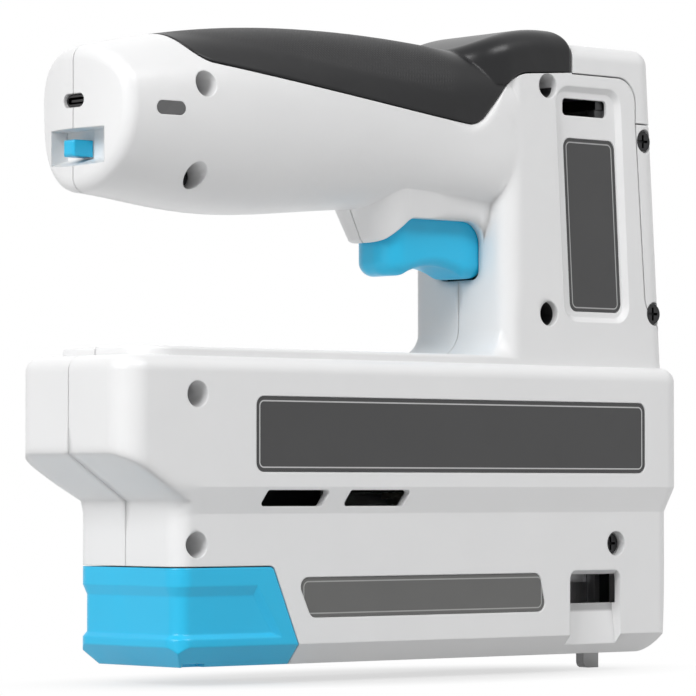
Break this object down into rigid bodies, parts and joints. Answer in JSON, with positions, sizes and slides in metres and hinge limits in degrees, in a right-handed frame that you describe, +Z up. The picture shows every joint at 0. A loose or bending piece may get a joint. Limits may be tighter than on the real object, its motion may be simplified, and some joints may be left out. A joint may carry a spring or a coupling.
{
  "type": "cordless stapler",
  "caption": "Battery stapler with a loop handle, trigger, pull-out staple magazine, motor-wound hammer and a sprung contact foot at the nose.",
  "frame": {"origin": "on the sole, in the middle plane between the casing halves, below the middle of the deck", "axes": "+X to the front, where the staples leave, +Y to the left side, +Z up from the sole"},
  "size_m": [0.1993, 0.047, 0.1782],
  "materials": {
    "white_plastic": "moulded, satin",
    "blue_plastic": "moulded, satin",
    "grip_rubber": "soft, fine texture",
    "dark_plate": "bare film, matt",
    "grey_plate": "bare film, matt",
    "lens": "smoked lens",
    "glide_plastic": "smooth",
    "circuit_board": "lacquered",
    "steel": "plain",
    "screw_steel": "dark coated",
    "black_plastic": "moulded, matt",
    "cell": "sleeved",
    "contact_metal": "plated",
    "gear_plastic": "moulded",
    "gear_steel": "sintered",
    "motor_metal": "plated",
    "cast_metal": "cast",
    "bumper_rubber": "soft"
  },
  "bodies": {
    "body": {"right_housing": "white_plastic", "left_housing": "white_plastic", "front_cover": "white_plastic", "top_cap": "white_plastic", "grip": "grip_rubber", "side_plate": "dark_plate", "rating_plate": "grey_plate", "column_plate": "dark_plate", "charge_light": "lens", "sole_pad": "glide_plastic", "board": "circuit_board", "socket": "steel", "power_switch": "black_plastic", "battery": "cell", "rear_contact": "contact_metal", "front_contact": "contact_metal", "trigger_pin": "steel", "trigger_switch": "black_plastic", "trigger_spring": "steel", "right_gear_plate": "steel", "left_gear_plate": "steel", "drive_axle": "steel", "idler_axle": "steel", "motor": "motor_metal", "hammer_spring": "steel", "right_rod": "steel", "left_rod": "steel", "spring_seat": "steel", "right_bumper": "bumper_rubber", "left_bumper": "bumper_rubber", "guide_block": "black_plastic", "nose_plate": "steel", "foot_spring": "steel", "casing_screw_1": "screw_steel", "casing_screw_2": "screw_steel", "casing_screw_3": "screw_steel", "casing_screw_4": "screw_steel", "casing_screw_5": "screw_steel", "casing_screw_6": "screw_steel", "block_screw": "screw_steel", "cover_screw_1": "screw_steel", "cover_screw_2": "screw_steel"},
    "power_slider": {"power_slider": "blue_plastic"},
    "trigger": {"trigger": "blue_plastic"},
    "plunger": {"plunger": "black_plastic"},
    "drive_gear": {"drive_gear": "gear_steel"},
    "idler_gear": {"idler_gear": "gear_plastic"},
    "rotor": {"rotor": "motor_metal"},
    "hammer": {"hammer": "cast_metal", "driver": "steel"},
    "foot": {"foot": "white_plastic"},
    "magazine": {"channel": "steel", "end_cap": "blue_plastic"},
    "pusher": {"pusher": "black_plastic", "pusher_coil": "steel"}
  },
  "joints": [
    {"name": "power_slide", "type": "slide", "parent": "body", "child": "power_slider", "axis": [0, 1, 0], "range_m": [0, 0.0044]},
    {"name": "trigger_pull", "type": "hinge", "parent": "body", "child": "trigger", "pos_m": [0.0065, 0, 0.123], "axis": [0, -1, 0], "range_deg": [0, 8], "stiffness_Nm_per_rad": 0.9, "springref_deg": -5.73},
    {"name": "plunger_press", "type": "slide", "parent": "body", "child": "plunger", "axis": [0, 0, 1], "range_m": [0, 0.0028], "deforming": ["trigger_spring"]},
    {"name": "drive_gear_turn", "type": "hinge", "parent": "body", "child": "drive_gear", "pos_m": [0.05325, 0, 0.066], "axis": [0, -1, 0], "range_deg": [0, 91.6], "stiffness_Nm_per_rad": 0.038, "springref_deg": -61.13},
    {"name": "idler_turn", "type": "hinge", "parent": "body", "child": "idler_gear", "pos_m": [0.0319, 0, 0.056], "axis": [0, -1, 0], "range_deg": [-300.5, 0]},
    {"name": "rotor_turn", "type": "hinge", "parent": "body", "child": "rotor", "pos_m": [0.01222, 0, 0.06], "axis": [0, -1, 0], "range_deg": [0, 1201]},
    {"name": "hammer_lift", "type": "slide", "parent": "body", "child": "hammer", "axis": [0, 0, 1], "range_m": [0, 0.018], "deforming": ["hammer_spring"]},
    {"name": "foot_press", "type": "slide", "parent": "body", "child": "foot", "axis": [0, 0, 1], "range_m": [0, 0.005], "stiffness_N_per_m": 150, "springref_m": -0.002, "deforming": ["foot_spring"]},
    {"name": "magazine_slide", "type": "slide", "parent": "body", "child": "magazine", "axis": [-1, 0, 0], "range_m": [0, 0.105]},
    {"name": "pusher_slide", "type": "slide", "parent": "magazine", "child": "pusher", "axis": [-1, 0, 0], "range_m": [0, 0.1], "stiffness_N_per_m": 15, "springref_m": -0.2}
  ],
  "couplings": [
    {"joint": "plunger_press", "follows": "trigger_pull", "m_per_rad": 0.0195},
    {"joint": "hammer_lift", "follows": "drive_gear_turn", "m_per_rad": 0.01125},
    {"joint": "idler_turn", "follows": "drive_gear_turn", "ratio": -3.2727},
    {"joint": "rotor_turn", "follows": "drive_gear_turn", "ratio": 13.091}
  ]
}
